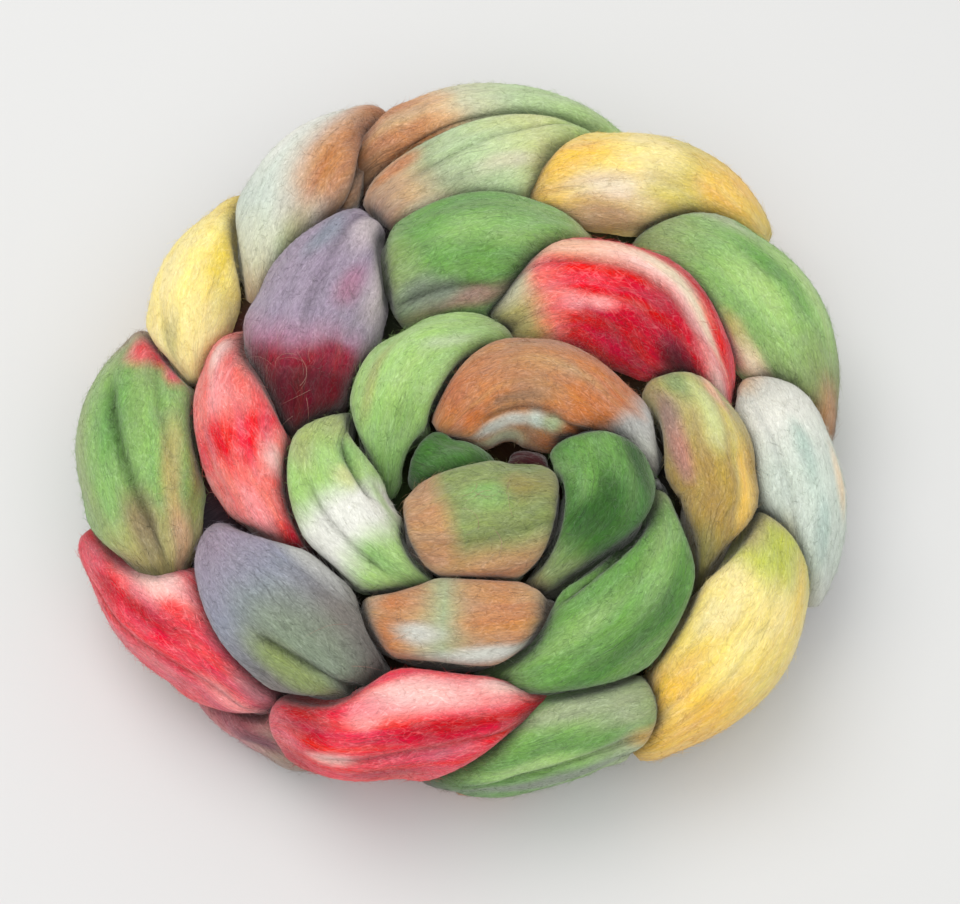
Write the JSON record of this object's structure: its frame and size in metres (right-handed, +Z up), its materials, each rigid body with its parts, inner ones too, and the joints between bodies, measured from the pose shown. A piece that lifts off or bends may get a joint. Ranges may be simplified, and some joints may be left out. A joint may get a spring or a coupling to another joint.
{
  "type": "wool roving braid",
  "caption": "Length of hand-dyed combed wool roving, finger-chained and wound into a flat round coil that lies on a surface.",
  "frame": {"origin": "on the surface that the coil lies on, under the middle of the coil", "axes": "+Z up out of the coil's upper face, +X to the right and +Y to the back as the coil is seen from its tucked tail's side"},
  "size_m": [0.2292, 0.2353, 0.067],
  "materials": {
    "dyed_wool": "matte, soft combed fibres with a faint sheen"
  },
  "bodies": {
    "root": {"wool_roving": "dyed_wool"}
  },
  "joints": []
}
